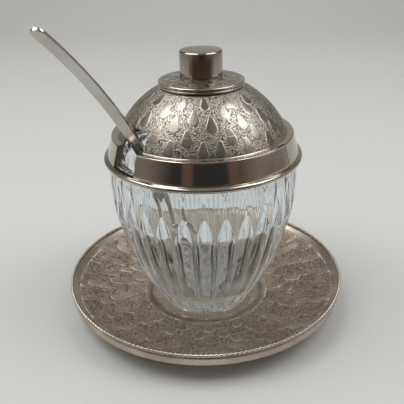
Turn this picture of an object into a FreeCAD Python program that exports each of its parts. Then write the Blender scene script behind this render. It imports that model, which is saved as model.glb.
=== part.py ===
import FreeCAD, Part
import math
import os

import Sketcher

# A sugar bowl: a fluted glass bowl in plated mounts, with a hinged dome lid, a spoon that leaves
# through a slot, and a saucer.  Millimetres, +Z up.  The origin is the point of the bowl's axis
# that lies in the plane of the saucer's foot.  -Y is the front and the hinge is at +Y.

SIZES = {
    # saucer
    "saucer_sheet": 1.4,
    "foot_radius": 29.6,
    "well_radius": 28.8,
    "well_edge_radius": 30.6,
    "well_edge_height": 3.2,
    "dish_edge_radius": 66.5,
    "dish_edge_height": 12.3,
    "dish_curve": 82.0,
    "saucer_rim_radius": 69.3,
    "saucer_rim_height": 14.1,
    "apron_bottom_radius": 69.1,
    "apron_bottom_height": 10.0,
    "rim_roll": 0.4,
    "rope_radius": 0.9,
    "rope_ring_radius": 69.1,
    "rope_height": 15.05,
    # glass bowl
    "glass_foot_radius": 21.6,
    "glass_foot_width": 2.6,
    "glass_heel_radius": 23.6,
    "glass_heel_height": 3.4,
    "glass_wall": 3.9,
    "glass_belly_radius": 43.3,
    "glass_belly_height": 52.0,
    "glass_lower_curve": 150.0,
    "glass_top_radius": 45.0,
    "glass_top_height": 70.0,
    "glass_upper_curve": 95.0,
    "glass_neck_radius": 44.2,
    "glass_neck_height": 77.0,
    "glass_rim_height": 81.6,
    "glass_rim_bevel": 1.4,
    "glass_mouth_radius": 40.6,
    "glass_mouth_rounding": 0.6,
    "glass_floor_height": 12.5,
    "glass_floor_radius": 17.0,
    "glass_floor_fillet_out": 4.4,
    "glass_floor_fillet_up": 2.6,
    "glass_foot_hollow": 0.8,
    "glass_foot_slope": 1.5,
    "flute_count": 30,
    "flute_side": 2.0,
    "flute_low": 4.0,
    "flute_low_radius": 3.5,
    "flute_high": 50.0,
    "flute_high_radius": 7.0,
    "facet_low": 50.5,
    "facet_low_radius": 2.0,
    "facet_high": 77.0,
    "facet_high_radius": 16.0,
    # collar
    "collar_sheet": 0.7,
    "collar_skirt_radius": 45.9,
    "collar_skirt_bottom": 79.3,
    "collar_top_height": 82.0,
    "collar_plate": 1.0,
    "collar_inner_radius": 43.6,
    "collar_top_bevel": 0.3,
    "bead_radius": 1.1,
    "bead_height": 80.6,
    # upright wall: the front band and the lid's rear skirt share its faces
    "wall_sheet": 0.9,
    "wall_bottom_radius": 45.2,
    "wall_top_radius": 42.6,
    "wall_top_height": 91.8,
    "band_left": 39.3,
    "skirt_end": 59.2,
    "seam_gap": 0.4,
    "lid_gap": 0.15,
    "return_depth": 2.3,
    "return_angle": 1.2,
    # lid
    "shoulder_gap": 0.4,
    "shoulder_lap": 0.6,
    "shoulder_dip": 0.1,
    "dome_foot_radius": 39.6,
    "dome_foot_height": 92.1,
    "dome_curve": 46.8,
    "dome_crown_radius": 18.9,
    "dome_crown_height": 113.1,
    "slot_middle": 48.9,
    "slot_angle": 22.0,
    "slot_top": 99.5,
    # finial
    "disc_radius": 19.7,
    "disc_seat_radius": 18.9,
    "disc_step": 1.35,
    "disc_edge": 0.5,
    "disc_dip": 0.2,
    "stud_clearance": 0.2,
    "plate_rise": 1.3,
    "knob_radius": 9.7,
    "knob_top_height": 128.7,
    "stud_radius": 2.4,
    "stud_bottom": 105.8,
    "stud_depth": 7.0,
    "nut_radius": 4.6,
    "nut_thickness": 3.8,
    "washer_radius": 6.2,
    "washer_thickness": 1.0,
    # hinge
    "hinge_radius": 47.4,
    "hinge_height": 83.7,
    "knuckle_radius": 1.9,
    "knuckle_length": 6.0,
    "knuckle_gap": 0.2,
    "pin_radius": 0.9,
    "pin_clearance": 0.05,
    "hinge_length": 14.4,
    "pin_overhang": 0.4,
    "leaf_sheet": 0.9,
    "leaf_gap": 0.3,
    "collar_leaf_angle": 18.0,
    "lid_leaf_angle": 10.0,
    "lid_leaf_start": 2.0,
    "lid_leaf_end": 7.0,
    "lid_web_top": 4.8,
    # spoon, drawn along its own axis from the bowl of the spoon to the tip of the handle
    "spoon_side": 44.0,
    "spoon_rise": 57.3,
    "spoon_roll": 25.0,
    "spoon_pass_radius": 47.0,
    "spoon_pass_height": 85.9,
    "handle_width": 5.8,
    "handle_thickness": 1.5,
    "handle_curve": 190.0,
    "handle_end": 68.0,
    "handle_end_rise": 7.8,
    "neck_back": 51.0,
    "neck_lap": 4.0,
    "tip_flat": 0.2,
    "neck_rise": 4.6,
    "scoop_length": 42.0,
    "scoop_width": 23.0,
    "scoop_depth": 6.8,
    "scoop_sheet": 1.1,
}

doc = FreeCAD.newDocument("sugar_bowl")
sheet = doc.addObject("Spreadsheet::Sheet", "Sizes")
for row, (alias, number) in enumerate(SIZES.items(), start=1):
    sheet.set(f"A{row}", alias)
    sheet.set(f"B{row}", str(number))
    sheet.setAlias(f"B{row}", alias)
doc.recompute()


class Measure:
    """A size that carries its value and the sheet expression that it comes from."""

    def __init__(self, value, text):
        self.value = value
        self.text = text

    def __add__(self, other):
        other = measure(other)
        return Measure(self.value + other.value, f"({self.text} + {other.text})")

    def __sub__(self, other):
        other = measure(other)
        return Measure(self.value - other.value, f"({self.text} - {other.text})")

    def __mul__(self, other):
        other = measure(other)
        return Measure(self.value * other.value, f"({self.text} * {other.text})")

    def __truediv__(self, other):
        other = measure(other)
        return Measure(self.value / other.value, f"({self.text} / {other.text})")


def measure(thing):
    """Turn a plain number into a Measure, and leave a Measure as it is."""
    if isinstance(thing, Measure):
        return thing
    return Measure(float(thing), repr(float(thing)))


def size(alias):
    return Measure(float(sheet.get(alias)), f"Sizes.{alias}")


def bind(feature, prop, thing):
    feature.setExpression(prop, measure(thing).text)


def origin_plane(body, role):
    return next(item for item in body.Origin.OriginFeatures if item.Role == role)


def new_body(label):
    body = doc.addObject("PartDesign::Body", label)
    body.Label = label
    return body


def turned(degrees):
    """A placement turned about the vertical axis."""
    return FreeCAD.Placement(FreeCAD.Vector(0, 0, 0), FreeCAD.Rotation(FreeCAD.Vector(0, 0, 1), degrees))


def new_sketch(body, name, turn=0.0):
    """A sketch in the body's XZ plane, turned about Z; its Y axis is the body's Z."""
    sketch = body.newObject("Sketcher::SketchObject", name)
    sketch.AttachmentSupport = [(origin_plane(body, "XZ_Plane"), "")]
    sketch.MapMode = "FlatFace"
    if turn:
        spin = FreeCAD.Rotation(FreeCAD.Vector(0, 1, 0), turn)
        sketch.AttachmentOffset = FreeCAD.Placement(FreeCAD.Vector(0, 0, 0), spin)
    return sketch


def hold(sketch, kind, edge, end, thing, name):
    """Tie one end of an edge to the sketch's origin across or up, through the sheet."""
    thing = measure(thing)
    if abs(thing.value) < 1e-9:
        axis = -2 if kind == "DistanceX" else -1
        sketch.addConstraint(Sketcher.Constraint("PointOnObject", edge, end, axis))
        return
    if thing.value > 0:
        tie = Sketcher.Constraint(kind, -1, 1, edge, end, thing.value)
    else:
        tie = Sketcher.Constraint(kind, edge, end, -1, 1, -thing.value)
        thing = measure(0) - thing
    index = sketch.addConstraint(tie)
    sketch.renameConstraint(index, name)
    sketch.setExpression(f"Constraints.{name}", thing.text)


def arc_centre(start, end, bend):
    """Centre of the arc of radius |bend| from start to end; a positive bend turns left on the way."""
    chord = end - start
    half = chord.Length / 2
    left = FreeCAD.Vector(-chord.y, chord.x, 0).normalize()
    side = 1 if bend > 0 else -1
    return (start + end) * 0.5 + left * (side * math.sqrt(bend * bend - half * half))


def arc_between(start, end, bend):
    """The arc of radius |bend| from start to end, and which of its ends is the start."""
    centre = arc_centre(start, end, bend)
    side = 1 if bend > 0 else -1
    angles = [math.atan2(p.y - centre.y, p.x - centre.x) for p in (start, end)]
    if side < 0:
        angles.reverse()
    if angles[1] < angles[0]:
        angles[1] += 2 * math.pi
    circle = Part.Circle(centre, FreeCAD.Vector(0, 0, 1), abs(bend))
    return Part.ArcOfCircle(circle, angles[0], angles[1]), (1, 2) if side > 0 else (2, 1)


def outline(sketch, corners):
    """Draw a closed outline.  A corner is (across, up), or (across, up, bend) at the end of an arc."""
    points = [FreeCAD.Vector(measure(c[0]).value, measure(c[1]).value, 0) for c in corners]
    ends = []
    for number, corner in enumerate(corners):
        start = points[number - 1]
        if len(corner) == 2:
            edge = sketch.addGeometry(Part.LineSegment(start, points[number]), False)
            ends.append((edge, 1, 2))
            continue
        bend = measure(corner[2])
        arc, (first, last) = arc_between(start, points[number], bend.value)
        edge = sketch.addGeometry(arc, False)
        ends.append((edge, first, last))
        index = sketch.addConstraint(Sketcher.Constraint("Radius", edge, abs(bend.value)))
        sketch.renameConstraint(index, f"bend{number}")
        radius = bend if bend.value > 0 else measure(0) - bend
        sketch.setExpression(f"Constraints.bend{number}", radius.text)
    for number, corner in enumerate(corners):
        edge, _, last = ends[number]
        following, first, _ = ends[(number + 1) % len(corners)]
        sketch.addConstraint(Sketcher.Constraint("Coincident", edge, last, following, first))
        hold(sketch, "DistanceX", edge, last, corner[0], f"across{number}")
        hold(sketch, "DistanceY", edge, last, corner[1], f"up{number}")
    return sketch


def ring(sketch, across, up, radius):
    """Draw a circle about the point (across, up)."""
    centre = FreeCAD.Vector(measure(across).value, measure(up).value, 0)
    circle = sketch.addGeometry(Part.Circle(centre, FreeCAD.Vector(0, 0, 1), radius.value), False)
    hold(sketch, "DistanceX", circle, 3, across, "across")
    hold(sketch, "DistanceY", circle, 3, up, "up")
    index = sketch.addConstraint(Sketcher.Constraint("Radius", circle, radius.value))
    sketch.renameConstraint(index, "radius")
    sketch.setExpression("Constraints.radius", radius.text)
    return sketch


def revolution(body, sketch, angle=360.0, kind="PartDesign::Revolution"):
    """Turn a sketch about the vertical axis, half of the angle to each side of it."""
    feature = body.newObject(kind, f"{sketch.Name}_turned")
    feature.Profile = sketch
    feature.ReferenceAxis = (sketch, ["V_Axis"])
    feature.Midplane = True
    feature.Angle = measure(angle).value
    bind(feature, "Angle", angle)
    doc.recompute()
    return feature


def extrusion(body, sketch, length, kind="PartDesign::Pad"):
    """Pad or pocket a sketch, half of the length to each side of it."""
    feature = body.newObject(kind, f"{sketch.Name}_cut" if kind.endswith("Pocket") else f"{sketch.Name}_pad")
    feature.Profile = sketch
    feature.Midplane = True
    feature.Length = measure(length).value
    bind(feature, "Length", length)
    doc.recompute()
    return feature


def turned_piece(label, corners, angle=360.0, middle=0.0):
    """A body revolved from one outline; middle is the azimuth of the middle of its sector."""
    body = new_body(label)
    sketch = outline(new_sketch(body, f"{label}_section"), corners)
    revolution(body, sketch, angle)
    body.Placement = turned(middle)
    return body


def azimuth(side_angle):
    """Azimuth from +X of a direction given from the front, positive towards +X."""
    return side_angle - 90.0


BACK = 90.0

# added to the radius of a half-round edge, so that its arc stays just under a half circle
JUST_OVER = 0.001


def build_saucer():
    sheet_mm = size("saucer_sheet")
    rim, rim_up = size("saucer_rim_radius"), size("saucer_rim_height")
    apron, apron_up = size("apron_bottom_radius"), size("apron_bottom_height")
    well_edge, well_up = size("well_edge_radius"), size("well_edge_height")
    dish, dish_up, curve = size("dish_edge_radius"), size("dish_edge_height"), size("dish_curve")
    roll = size("rim_roll")
    turned_piece("saucer", [
        (0, 0),
        (size("foot_radius"), 0),
        (well_edge + sheet_mm * 0.65, well_up - sheet_mm * 0.85),
        (dish + sheet_mm * 0.35, dish_up - sheet_mm * 0.9, curve + sheet_mm),
        (rim - sheet_mm * 0.6, rim_up - sheet_mm * 1.25),
        (apron - sheet_mm * 0.7, apron_up),
        (apron, apron_up),
        (rim + roll, rim_up - roll),
        (rim, rim_up),
        (dish, dish_up),
        (well_edge, well_up, measure(0) - curve),
        (size("well_radius"), sheet_mm),
        (0, sheet_mm),
    ])


def build_saucer_rope_border():
    rope = doc.addObject("Part::Torus", "saucer_rope_border")
    rope.Label = "saucer_rope_border"
    bind(rope, "Radius1", size("rope_ring_radius"))
    bind(rope, "Radius2", size("rope_radius"))
    rope.Placement = FreeCAD.Placement(FreeCAD.Vector(0, 0, SIZES["rope_height"]), FreeCAD.Rotation())
    bind(rope, "Placement.Base.z", size("rope_height"))


def glass_wall_point(height):
    """The point (radius, height) of the plain glass wall, before it is cut."""
    heel = FreeCAD.Vector(SIZES["glass_heel_radius"], SIZES["glass_heel_height"], 0)
    belly = FreeCAD.Vector(SIZES["glass_belly_radius"], SIZES["glass_belly_height"], 0)
    top = FreeCAD.Vector(SIZES["glass_top_radius"], SIZES["glass_top_height"], 0)
    if height > top.y:
        neck = FreeCAD.Vector(SIZES["glass_neck_radius"], SIZES["glass_neck_height"], 0)
        return top.x + (neck.x - top.x) * (height - top.y) / (neck.y - top.y), height
    if height < belly.y:
        bend = SIZES["glass_lower_curve"]
        centre = arc_centre(heel, belly, bend)
    else:
        bend = SIZES["glass_upper_curve"]
        centre = arc_centre(belly, top, bend)
    return centre.x + math.sqrt(bend ** 2 - (height - centre.y) ** 2), height


def cut_wall(body, name, turn):
    """A cone that touches the bulging glass wall at two heights and hollows it in between."""
    low, high = (glass_wall_point(SIZES[f"{name}_{end}"]) for end in ("low", "high"))
    radii = size(f"{name}_low_radius"), size(f"{name}_high_radius")
    run = math.hypot(high[0] - low[0], high[1] - low[1])
    flare = math.asin((radii[1].value - radii[0].value) / run)
    lean = math.atan2(high[0] - low[0], high[1] - low[1]) + flare
    out = radii[0].value
    base = FreeCAD.Vector(low[0] + out * math.cos(lean), 0, low[1] - out * math.sin(lean))
    rotation = FreeCAD.Rotation(FreeCAD.Vector(0, 1, 0), math.degrees(lean))
    cutter = body.newObject("PartDesign::SubtractiveCone", name)
    bind(cutter, "Radius1", radii[0])
    bind(cutter, "Radius2", radii[1])
    cutter.Height = run * math.cos(flare)
    cutter.Placement = turned(turn).multiply(FreeCAD.Placement(base, rotation))
    doc.recompute()
    return cutter


def build_glass_bowl():
    wall, floor_up = size("glass_wall"), size("glass_floor_height")
    foot, foot_up = size("glass_foot_radius"), size("saucer_sheet")
    belly, belly_up = size("glass_belly_radius"), size("glass_belly_height")
    top, top_up = size("glass_top_radius"), size("glass_top_height")
    neck, neck_up, rim_up = size("glass_neck_radius"), size("glass_neck_height"), size("glass_rim_height")
    mouth, floor = size("glass_mouth_radius"), size("glass_floor_radius")
    lower, upper = size("glass_lower_curve"), size("glass_upper_curve")
    hollow, bevel, rounding = size("glass_foot_hollow"), size("glass_rim_bevel"), size("glass_mouth_rounding")
    nought = measure(0)
    body = new_body("glass_bowl")
    outline(new_sketch(body, "glass_section"), [
        (0, foot_up + hollow),
        (foot - size("glass_foot_width") - size("glass_foot_slope"), foot_up + hollow),
        (foot - size("glass_foot_width"), foot_up),
        (foot, foot_up),
        (size("glass_heel_radius"), size("glass_heel_height")),
        (belly, belly_up, lower),
        (top, top_up, upper),
        (neck, neck_up),
        (neck, rim_up - bevel),
        (neck - bevel, rim_up),
        (mouth + rounding, rim_up),
        (mouth, rim_up - rounding),
        (mouth, top_up),
        (belly - wall, belly_up, nought - upper),
        (floor + size("glass_floor_fillet_out"), floor_up + size("glass_floor_fillet_up"), nought - lower),
        (floor, floor_up),
        (0, floor_up),
    ])
    revolution(body, doc.getObject("glass_section"))
    # flutes in the lower wall; above them facets with a pointed foot and an arched top
    flute = cut_wall(body, "flute", 0.0)
    facet = cut_wall(body, "facet", 180.0 / SIZES["flute_count"])
    pattern = body.newObject("PartDesign::PolarPattern", "cut_pattern")
    pattern.Originals = [flute, facet]
    pattern.Axis = (origin_plane(body, "Z_Axis"), [""])
    pattern.Angle = 360
    bind(pattern, "Occurrences", size("flute_count"))
    body.Tip = pattern
    body.Placement = turned(azimuth(SIZES["flute_side"]))
    doc.recompute()


def build_collar():
    skirt, inside = size("collar_skirt_radius"), size("collar_skirt_radius") - size("collar_sheet")
    bottom, top, under = size("collar_skirt_bottom"), size("collar_top_height"), size("collar_plate")
    inner, bead, bead_up = size("collar_inner_radius"), size("bead_radius"), size("bead_height")
    bevel = size("collar_top_bevel")
    turned_piece("collar_flange_ring", [
        (inner, top - under),
        (inside, top - under),
        (inside, bottom),
        (skirt, bottom),
        (skirt, bead_up - bead),
        (skirt, bead_up + bead, bead + JUST_OVER),
        (skirt - bevel, top),
        (inner, top),
    ])
    neck, shoulder = size("glass_neck_radius"), size("glass_rim_height") - size("glass_rim_bevel")
    turned_piece("collar_bedding_ring", [
        (neck, bottom),
        (inside, bottom),
        (inside, top - under),
        (inner + bevel, top - under),
        (neck, shoulder),
    ])


def wall_section(bottom):
    """The section of the upright wall, from its bottom height to a top edge that is rounded over."""
    low, high, top = size("wall_bottom_radius"), size("wall_top_radius"), size("wall_top_height")
    sheet_mm = size("wall_sheet")
    half = sheet_mm / 2
    return [
        (low - sheet_mm, bottom),
        (low, bottom),
        (high, top - half),
        (high - sheet_mm, top - half, half + JUST_OVER),
    ]


def build_collar_front_band():
    left, right = size("band_left"), size("skirt_end") - size("seam_gap")
    middle = azimuth((right.value - left.value) / 2)
    turned_piece("collar_front_band", wall_section(size("collar_top_height")), left + right, middle)


def build_lid_dome():
    sheet_mm = size("wall_sheet")
    high, low, top = size("wall_top_radius"), size("wall_bottom_radius"), size("wall_top_height")
    crown, crown_up = size("dome_crown_radius"), size("dome_crown_height")
    foot, foot_up, curve = size("dome_foot_radius"), size("dome_foot_height"), size("dome_curve")
    hole = size("stud_radius") + size("stud_clearance")
    inner_edge = high - sheet_mm - size("shoulder_gap")
    bottom = size("collar_top_height") + size("lid_gap")
    lap, dip, half = size("shoulder_lap"), size("shoulder_dip"), sheet_mm / 2
    body = new_body("lid_dome")
    outline(new_sketch(body, "dome_section"), [
        (hole, crown_up - sheet_mm),
        (crown - sheet_mm / 3, crown_up - sheet_mm),
        (foot - sheet_mm, foot_up - lap, measure(0) - curve + sheet_mm),
        (foot - lap, top - sheet_mm),
        (inner_edge, top - sheet_mm),
        (inner_edge, top - dip),
        (foot, foot_up),
        (crown, crown_up, curve),
        (hole, crown_up),
    ])
    revolution(body, doc.getObject("dome_section"))
    outline(new_sketch(body, "skirt_section", turn=BACK), [
        (low - sheet_mm, bottom),
        (low, bottom),
        (high, top - half),
        (high - half, top, half + JUST_OVER),
        (inner_edge - lap, top - dip / 2),
        (inner_edge - lap, top - sheet_mm),
        (high - sheet_mm - dip / 2, top - sheet_mm),
    ])
    full_turn = measure(360)
    revolution(body, doc.getObject("skirt_section"), full_turn - size("skirt_end") * 2)
    depth, thin = size("return_depth"), size("return_angle")
    for name, side in (("left", -1), ("right", 1)):
        at = azimuth(side * (SIZES["skirt_end"] + SIZES["return_angle"] / 2))
        outline(new_sketch(body, f"{name}_return_section", turn=at), [
            (low - sheet_mm - depth, bottom),
            (low - half, bottom),
            (high - half, top - half),
            (high - sheet_mm - depth, top - half),
        ])
        revolution(body, doc.getObject(f"{name}_return_section"), thin)
    clear = sheet_mm * 1.2
    outline(new_sketch(body, "slot_section", turn=azimuth(-SIZES["slot_middle"])), [
        (crown, top - clear),
        (high + clear, top - clear),
        (high + clear, size("slot_top")),
        (crown, size("slot_top")),
    ])
    revolution(body, doc.getObject("slot_section"), size("slot_angle"), "PartDesign::Groove")


def build_finial():
    crown_up, step, edge = size("dome_crown_height"), size("disc_step"), size("disc_edge")
    disc, seat = size("disc_radius"), size("disc_seat_radius")
    hole = size("stud_radius") + size("stud_clearance")
    plate_up = crown_up + step
    knob, knob_top = size("knob_radius"), size("knob_top_height")
    centre_up = plate_up + step + size("plate_rise")
    turned_piece("finial_base_ring", [
        (hole, crown_up),
        (seat, crown_up),
        (disc, crown_up + edge, edge * 1.9),
        (disc, plate_up - edge * 0.6),
        (disc - edge, plate_up, edge * 1.2),
        (hole, plate_up),
    ])
    turned_piece("finial_plate", [
        (hole, plate_up),
        (disc - edge, plate_up),
        (disc, plate_up + edge * 0.6, edge * 1.2),
        (disc, plate_up + step - edge * 0.6),
        (disc - edge, plate_up + step, edge * 1.2),
        (disc - edge * 3, plate_up + step - size("disc_dip")),
        (knob, centre_up),
        (hole, centre_up),
    ])
    socket_top = centre_up + size("stud_depth")
    turned_piece("finial_knob", [
        (size("stud_radius"), centre_up),
        (knob, centre_up),
        (knob, knob_top - edge),
        (knob - edge, knob_top, edge + JUST_OVER),
        (0, knob_top),
        (0, socket_top),
        (size("stud_radius"), socket_top),
    ])
    inside = crown_up - size("wall_sheet")
    stud = doc.addObject("Part::Cylinder", "finial_stud")
    stud.Label = "finial_stud"
    bind(stud, "Radius", size("stud_radius"))
    bind(stud, "Height", socket_top - size("stud_bottom"))
    bind(stud, "Placement.Base.z", size("stud_bottom"))
    washer_up = inside - size("washer_thickness")
    turned_piece("finial_washer", [
        (hole, washer_up),
        (size("washer_radius"), washer_up),
        (size("washer_radius"), inside),
        (hole, inside),
    ])
    build_finial_nut(washer_up)


def build_finial_nut(seat_up):
    blank = doc.addObject("Part::Prism", "nut_blank")
    blank.Polygon = 6
    bind(blank, "Circumradius", size("nut_radius"))
    bind(blank, "Height", size("nut_thickness"))
    bore = doc.addObject("Part::Cylinder", "nut_bore")
    bind(bore, "Radius", size("stud_radius"))
    bind(bore, "Height", size("nut_thickness"))
    nut = doc.addObject("Part::Cut", "finial_nut")
    nut.Label = "finial_nut"
    nut.Base = blank
    nut.Tool = bore
    bind(nut, "Placement.Base.z", seat_up - size("nut_thickness"))


def build_hinge():
    """A three-knuckle hinge at the back; its pieces are drawn at azimuth 0 and turned to the back."""
    out, up, knuckle = size("hinge_radius"), size("hinge_height"), size("knuckle_radius")
    pin, clearance, leaf = size("pin_radius"), size("pin_clearance"), size("leaf_sheet")
    middle_length = size("knuckle_length")
    length, gap = size("hinge_length"), size("knuckle_gap")

    collar_leaf = new_body("hinge_collar_leaf")
    bead, bead_up, skirt = size("bead_radius"), size("bead_height"), size("collar_skirt_radius")
    plate_top = up - knuckle - size("leaf_gap")
    outline(new_sketch(collar_leaf, "collar_leaf_plate"), [
        (skirt, size("collar_skirt_bottom")),
        (skirt + bead + leaf, size("collar_skirt_bottom")),
        (skirt + bead + leaf, plate_top),
        (skirt, plate_top),
    ])
    revolution(collar_leaf, doc.getObject("collar_leaf_plate"), size("collar_leaf_angle"))
    ring(new_sketch(collar_leaf, "collar_knuckles"), out, up, knuckle)
    extrusion(collar_leaf, doc.getObject("collar_knuckles"), length)
    outline(new_sketch(collar_leaf, "collar_webs"), [
        (out - leaf / 2, plate_top - leaf / 2),
        (out + leaf / 2, plate_top - leaf / 2),
        (out + leaf, up),
        (out - leaf, up),
    ])
    extrusion(collar_leaf, doc.getObject("collar_webs"), length)
    around = knuckle * 2
    outline(new_sketch(collar_leaf, "middle_gap"), [
        (out - around, plate_top),
        (out + around, plate_top),
        (out + around, up + around),
        (out - around, up + around),
    ])
    extrusion(collar_leaf, doc.getObject("middle_gap"), middle_length + gap * 2, "PartDesign::Pocket")
    ring(new_sketch(collar_leaf, "collar_pin_hole"), out, up, pin)
    extrusion(collar_leaf, doc.getObject("collar_pin_hole"), length + knuckle, "PartDesign::Pocket")
    saddle = collar_leaf.newObject("PartDesign::SubtractiveTorus", "bead_saddle")
    bind(saddle, "Radius1", skirt)
    bind(saddle, "Radius2", bead)
    saddle.Placement = FreeCAD.Placement(FreeCAD.Vector(0, 0, bead_up.value), FreeCAD.Rotation())
    collar_leaf.Placement = turned(BACK)

    lid_leaf = new_body("hinge_lid_leaf")
    low, high = size("wall_bottom_radius"), size("wall_top_radius")
    bottom = size("collar_top_height") + size("lid_gap")
    slope = (low - high) / (size("wall_top_height") - size("wall_sheet") / 2 - bottom)
    start, finish, web_top = size("lid_leaf_start"), size("lid_leaf_end"), size("lid_web_top")
    outline(new_sketch(lid_leaf, "lid_leaf_plate"), [
        (low - slope * start, bottom + start),
        (low - slope * start + leaf, bottom + start),
        (low - slope * finish + leaf, bottom + finish),
        (low - slope * finish, bottom + finish),
    ])
    revolution(lid_leaf, doc.getObject("lid_leaf_plate"), size("lid_leaf_angle"))
    ring(new_sketch(lid_leaf, "lid_knuckle"), out, up, knuckle)
    extrusion(lid_leaf, doc.getObject("lid_knuckle"), middle_length)
    outline(new_sketch(lid_leaf, "lid_web"), [
        (low - slope * start + leaf / 3, bottom + start + leaf / 3),
        (out, up + leaf / 3),
        (out + leaf / 2, up + knuckle * 0.9),
        (low - slope * web_top + leaf / 2, bottom + web_top),
    ])
    extrusion(lid_leaf, doc.getObject("lid_web"), middle_length)
    ring(new_sketch(lid_leaf, "lid_pin_hole"), out, up, pin + clearance)
    extrusion(lid_leaf, doc.getObject("lid_pin_hole"), middle_length + knuckle, "PartDesign::Pocket")
    lid_leaf.Placement = turned(BACK)

    hinge_pin = doc.addObject("Part::Cylinder", "hinge_pin")
    hinge_pin.Label = "hinge_pin"
    bind(hinge_pin, "Radius", pin)
    pin_length = length + size("pin_overhang") * 2
    bind(hinge_pin, "Height", pin_length)
    hinge_pin.Placement = FreeCAD.Placement(
        FreeCAD.Vector(-pin_length.value / 2, out.value, up.value),
        FreeCAD.Rotation(FreeCAD.Vector(0, 1, 0), 90))
    bind(hinge_pin, "Placement.Base.y", out)
    bind(hinge_pin, "Placement.Base.z", up)


def tip_corners(shape, end, width):
    """Names of the two straight edges at the corners of the handle's tip."""
    names = []
    for number, edge in enumerate(shape.Edges, start=1):
        middle = edge.CenterOfMass
        if abs(middle.x - end) < 0.01 and abs(abs(middle.y) - width / 2) < 0.01:
            names.append(f"Edge{number}")
    return names


def scoop_ellipsoid(body, kind, name, place, shrink):
    """One of the two ellipsoids of the scoop, smaller than the outside by the given sheet."""
    ellipsoid = body.newObject(kind, name)
    bind(ellipsoid, "Radius1", size("scoop_depth") - shrink)
    bind(ellipsoid, "Radius2", size("scoop_length") / 2 - shrink)
    bind(ellipsoid, "Radius3", size("scoop_width") / 2 - shrink)
    ellipsoid.Placement = place
    doc.recompute()


def build_sugar_spoon():
    """The spoon along +X from its scoop to the tip of its handle, with its open side up along +Z.

    The cut for the mouth of the scoop stops at the inside of the neck, so that the handle stays.
    """
    end, end_up = size("handle_end"), size("handle_end_rise")
    back, neck_up = size("neck_back"), size("neck_rise")
    thick, width, curve = size("handle_thickness"), size("handle_width"), size("handle_curve")
    nought = measure(0)
    body = new_body("sugar_spoon")
    outline(new_sketch(body, "handle_side"), [
        (nought - back, neck_up - thick / 2),
        (end, end_up - thick / 2, nought - curve),
        (end, end_up + thick / 2),
        (nought - back, neck_up + thick / 2, curve + thick),
    ])
    bar = extrusion(body, doc.getObject("handle_side"), width)
    rounding = body.newObject("PartDesign::Fillet", "handle_tip")
    rounding.Base = (bar, tip_corners(bar.Shape, end.value, width.value))
    bind(rounding, "Radius", (width - size("tip_flat")) / 2)
    doc.recompute()
    half_length, half_width, deep = size("scoop_length") / 2, size("scoop_width") / 2, size("scoop_depth")
    centre_along = SIZES["neck_lap"] - back.value - half_length.value
    centre = FreeCAD.Vector(centre_along, 0, neck_up.value + thick.value / 2)
    place = FreeCAD.Placement(centre, FreeCAD.Rotation())
    scoop_ellipsoid(body, "PartDesign::AdditiveEllipsoid", "scoop_outside", place, nought)
    scoop_ellipsoid(body, "PartDesign::SubtractiveEllipsoid", "scoop_inside", place, size("scoop_sheet"))
    mouth = body.newObject("PartDesign::SubtractiveBox", "scoop_mouth")
    spare = thick.value
    bind(mouth, "Length", half_length * 2 + thick)
    bind(mouth, "Width", half_width * 2 + thick * 2)
    bind(mouth, "Height", deep + thick)
    corner = centre - FreeCAD.Vector(half_length.value + spare, half_width.value + spare, 0)
    mouth.Placement = FreeCAD.Placement(corner, FreeCAD.Rotation())
    heading = azimuth(-SIZES["spoon_side"])
    passing = FreeCAD.Vector(SIZES["spoon_pass_radius"], 0, SIZES["spoon_pass_height"])
    rise = FreeCAD.Rotation(FreeCAD.Vector(0, 1, 0), -SIZES["spoon_rise"])
    roll = FreeCAD.Rotation(FreeCAD.Vector(1, 0, 0), SIZES["spoon_roll"])
    body.Placement = turned(heading).multiply(FreeCAD.Placement(passing, rise.multiply(roll)))


build_saucer()
build_saucer_rope_border()
build_glass_bowl()
build_collar()
build_collar_front_band()
build_lid_dome()
build_finial()
build_hinge()
build_sugar_spoon()
doc.recompute()

NODES = [
    "saucer", "saucer_rope_border", "glass_bowl", "collar_bedding_ring", "collar_flange_ring",
    "collar_front_band", "hinge_collar_leaf", "hinge_pin", "hinge_lid_leaf", "lid_dome",
    "finial_base_ring", "finial_plate", "finial_knob", "finial_stud", "finial_washer", "finial_nut",
    "sugar_spoon",
]

for item in doc.Objects:
    if "Invalid" in item.State or "Error" in item.State:
        raise RuntimeError(f"{item.Label} failed: {item.State}")

os.makedirs("parts", exist_ok=True)
for node in NODES:
    shape = doc.getObjectsByLabel(node)[0].Shape
    if shape.isNull() or not shape.isValid():
        raise RuntimeError(f"{node} has no valid shape")
    print(f"{node}: {len(shape.Solids)} solid, {shape.Volume:.1f} mm3")
    shape.exportStep(f"parts/{node}.step")
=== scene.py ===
import math

import bpy
import numpy as np
from mathutils import Matrix, Vector


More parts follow.
